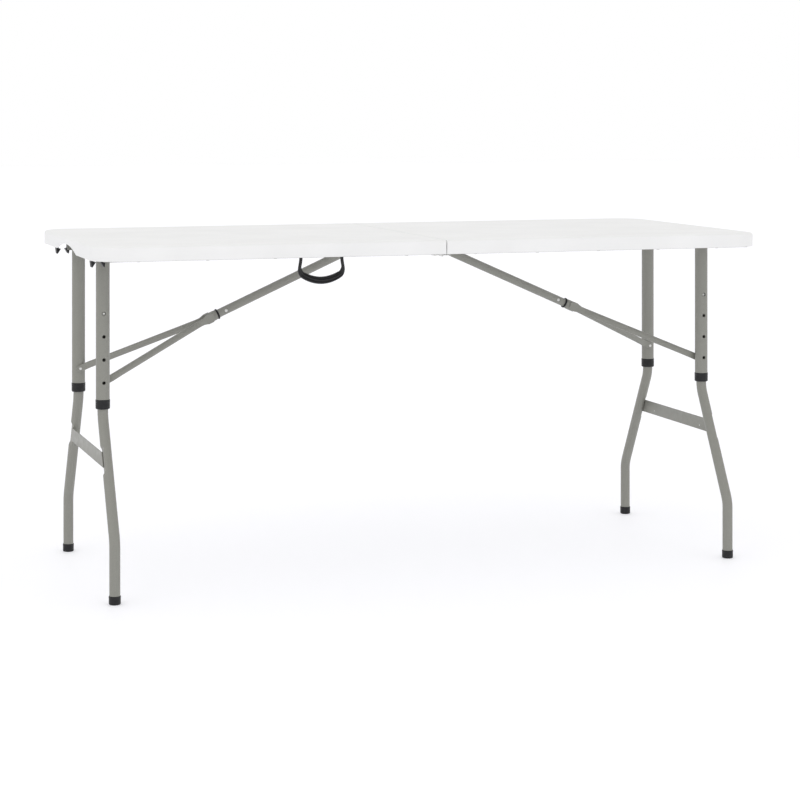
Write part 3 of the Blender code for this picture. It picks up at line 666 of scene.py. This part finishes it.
def build_strut(side, row, mirror, pivot, along, up):
    """A round tube pressed flat at both ends, and riveted at its end on the leg."""
    tab_half, tab_y, apex_y = 0.0015, 0.1286, 0.0131
    corners = [(-0.008, tab_y), (0.018, tab_y), (0.264, apex_y), (0.300, apex_y)]
    path = divided(rounded_path([Vector((s, y, 0)) for s, y in corners], 0.035, 8), 0.006)
    thin = [(0.012, tab_half), (0.042, 0.0060), (0.232, 0.0060), (0.262, tab_half)]
    tall = [(0.008, 0.0075), (0.045, 0.0072), (0.273, 0.0072), (0.283, 0.0105)]
    power = [(0.010, 5.0), (0.045, 2.2), (0.232, 2.2), (0.264, 5.0)]
    rings = []
    for place, tangent in zip(path, tangents(path)):
        direction = along * tangent.x + Y * tangent.y
        across = up.cross(direction).normalized()
        centre = pivot + along * place.x + Y * place.y
        end = min(place.x + 0.008, 0.300 - place.x)
        nose = math.sqrt(max(0.0, 1 - (1 - min(1.0, (end + 0.0012) / 0.0075)) ** 2))
        half_up = blend(tall, place.x) * nose
        rings.append(oval(centre, across, up, blend(thin, place.x), half_up, 32, blend(power, place.x)))
    node = f"{side}_{row}_strut"
    stand_in(node, skin(rings), PAINT["grey"], mirror)
    y_sign = mirror[1]
    place = Vector((mirror[0] * pivot.x, y_sign * (tab_y - tab_half), pivot.z))
    rivet(f"{node}_leg_rivet", place, -Y * y_sign, 0.0032, f"{side}_brace")


# ---------------------------------------------------------------- hardware


def shared_mesh(name, shape, cuts=()):
    """A zinc-plated mesh that many fasteners show."""
    item = cut(new_object(name, shape), cuts)
    mesh = item.data
    finish_mesh(mesh, 40)
    mesh.materials.append(PAINT["zinc"])
    bpy.data.objects.remove(item)
    return mesh


def screw_shape():
    """A pan head of radius 1 and height 0.45 on the plane z = 0."""
    profile = [(1.0, 0.0), (1.0, 0.16), (0.97, 0.22)]
    profile += [(0.97 * math.cos(a), 0.22 + 0.23 * math.sin(a)) for a in (0.25, 0.5, 0.75, 1.0, 1.25)]
    return lathe([(0, 0.0), *profile, (0, 0.45)], (0, 0, 0), Z, segments=32)


def screw_recess():
    """The two slots of a crossed recess."""
    arm, depth = 0.11, 0.18
    slots = []
    for half_x, half_y in ((0.5, arm), (arm, 0.5)):
        outline = [(-half_x, -half_y), (half_x, -half_y), (half_x, half_y), (-half_x, half_y)]
        slots.append(prism(outline, "XY", 0.45 - depth, 0.6))
    return slots


def rivet_shape():
    """A domed head of radius 1 and height 0.42 with a small centre dimple."""
    profile = [(0, 0.0), (1.0, 0.0), (0.99, 0.06)]
    profile += [(0.97 * math.cos(a), 0.06 + 0.36 * math.sin(a)) for a in (0.2, 0.45, 0.7, 0.95, 1.15)]
    profile += [(0.26, 0.40), (0.22, 0.33), (0, 0.31)]
    return lathe(profile, (0, 0, 0), Z, segments=32)


SCREW = shared_mesh("screw", screw_shape(), screw_recess())
RIVET = shared_mesh("rivet", rivet_shape())


def fastener(name, mesh, centre, direction, radius, body, turn=0.0):
    item = bpy.data.objects.new(name, mesh)
    bpy.context.scene.collection.objects.link(item)
    aim = Vector(direction).to_track_quat("Z", "Y").to_matrix().to_4x4()
    item.matrix_world = (
        Matrix.Translation(centre) @ aim @ Matrix.Rotation(turn, 4, "Z") @ Matrix.Scale(radius, 4)
    )
    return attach(item, body)


def rivet(name, centre, direction, radius, body):
    return fastener(name, RIVET, centre, direction, radius, body)


def screw(name, centre, direction, radius, body, turn):
    return fastener(name, SCREW, centre, direction, radius, body, turn)


def build_fasteners():
    for side, x_sign in SIDES:
        half = f"{side}_half"
        for row, y_sign in ROWS:
            low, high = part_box(f"{side}_{row}_rail")
            for k in range(5):
                x = low.x + (high.x - low.x) * (0.10 + 0.2 * k)
                place = Vector((x, (low.y + high.y) / 2, low.z))
                screw(f"{side}_{row}_rail_screw_{k}", place, -Z, 0.0040, half, 0.6 * k)
            low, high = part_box(f"{side}_{row}_hinge_leaf")
            outer = max(abs(low.x), abs(high.x))
            place = Vector((x_sign * outer * 0.65, (low.y + high.y) / 2, 0.7085))
            screw(f"{side}_{row}_hinge_screw", place, -Z, 0.0032, half, 0.4)
            low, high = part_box(f"{side}_{row}_pivot_bracket")
            for k, x in enumerate((low.x + 0.006, high.x - 0.006)):
                place = Vector((x, y_sign * 0.1885, high.z - 0.003))
                screw(f"{side}_{row}_bracket_screw_{k}", place, -Z, 0.0036, half, 0.3 + k)


# ---------------------------------------------------------------- handle


def ribbed(point, centre, across, half):
    """Draws a point of the grip in where a groove runs along it, a third of the way from each edge."""
    height = (point - centre).dot(across) / half
    depth = max(0.0, 1 - ((abs(height) - 0.36) / 0.13) ** 2) * min(1.0, max(0.0, (half - 0.0056) / 0.001))
    return Vector((point.x, point.y - math.copysign(GRIP_GROOVE_DEPTH, point.y - centre.y) * depth, point.z))


def build_handle():
    """A moulded bail: two flat arms and a deep grip with ribs along its front and back."""
    low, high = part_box("handle")
    pivot = Vector(JOINTS["handle_swing"]["pos_m"])
    half = 0.048
    grip_z, shoulder_z = 0.6635, 0.6800
    grip = []
    steps, reach = 34, 0.86
    for k in range(steps + 1):
        share = reach * k / steps
        fullness = 1 - share * share
        z = shoulder_z - (shoulder_z - grip_z) * fullness
        grip.append((half * share, z, 0.0056 + 0.0022 * math.sqrt(fullness), 0.0045 + 0.0045 * fullness))
    arm = [(half - 0.0030, pivot.z + 0.004), (half - 0.0030, 0.7125), (half - 0.0030, 0.7085),
           (half - 0.0020, 0.7010), (half - 0.0005, 0.6925)]
    arm = [(x, z, 0.0034, 0.0030) for x, z in arm]
    corner = []
    for k in range(1, 8):
        t = k / 8
        start, end = Vector(grip[-1]), Vector(arm[-1])
        point = start.lerp(end, t)
        bend = Vector((half, 0.6815)) - (start.xy + end.xy) / 2
        point.xy += bend * 2 * t * (1 - t)
        corner.append(tuple(point))
    right = grip[1:] + corner + arm[::-1]
    spots = [(-x, z, a, b) for x, z, a, b in reversed(right)] + grip[:1] + right
    path = [Vector((pivot.x + x, pivot.y, z)) for x, z, _, _ in spots]
    rings = []
    for centre, tangent, spot in zip(path, tangents(path), spots):
        across = tangent.cross(Y).normalized()
        ring = oval(centre, across, Y, spot[2], spot[3], 96, 2.5)
        rings.append([ribbed(point, centre, across, spot[2]) for point in ring])
    eye = lathe([(0, -0.06), (0.0016, -0.06), (0.0016, 0.06), (0, 0.06)], pivot, X, segments=20)
    stand_in("handle", skin(rings), PAINT["black"], (1, 1), [eye])
    dress_node("handle_anchor", PAINT["black"], 0.0006)
    dress_node("handle_pin", PAINT["zinc"], 0.0002)


# ---------------------------------------------------------------- studio


def flat_material(name, color, roughness, glow=0.0):
    material, shader = start_material(name, color, roughness, specular=0.2)
    shader.inputs["Emission Color"].default_value = (*color, 1)
    shader.inputs["Emission Strength"].default_value = glow
    return material


def area_light(name, place, target, size, power, color=(1, 1, 1)):
    data = bpy.data.lights.new(name, "AREA")
    data.shape = "RECTANGLE"
    data.size, data.size_y = size
    data.energy = power
    data.color = color
    item = bpy.data.objects.new(name, data)
    bpy.context.scene.collection.objects.link(item)
    item.location = place
    item.rotation_euler = (Vector(target) - Vector(place)).to_track_quat("-Z", "Y").to_euler()
    return item


def build_studio():
    scene = bpy.context.scene
    scene.view_settings.view_transform = "Standard"
    ground = new_object("floor", prism([(-30, -30), (30, -30), (30, 30), (-30, 30)], "XY", -0.02, 0.0))
    ground.data.materials.append(flat_material("floor_white", (0.74, 0.74, 0.76), 0.6, 0.38))
    world = bpy.data.worlds.new("studio")
    world.use_nodes = True
    world.node_tree.nodes["Background"].inputs["Color"].default_value = (1, 1, 1, 1)
    world.node_tree.nodes["Background"].inputs["Strength"].default_value = 1.0
    scene.world = world
    area_light("key", (-3.4, -2.2, 3.4), (0, 0, 0.5), (3.0, 3.0), 14, (1.0, 0.99, 0.97))
    area_light("front", (0.6, -4.2, 0.9), (0, 0, 0.6), (3.0, 1.0), 8)

    data = bpy.data.cameras.new("camera")
    data.lens = 95.68
    data.sensor_width = 36
    data.shift_y = -0.3707
    camera = bpy.data.objects.new("camera", data)
    scene.collection.objects.link(camera)
    camera.location = (-1.5594, -4.6319, 1.0363)
    camera.rotation_euler = (math.radians(90), 0, math.radians(-18.727))
    scene.camera = camera


build_top()
for side, x_sign in SIDES:
    build_leg(side, x_sign)
    build_brace(side, x_sign)
build_fasteners()
build_handle()
build_studio()
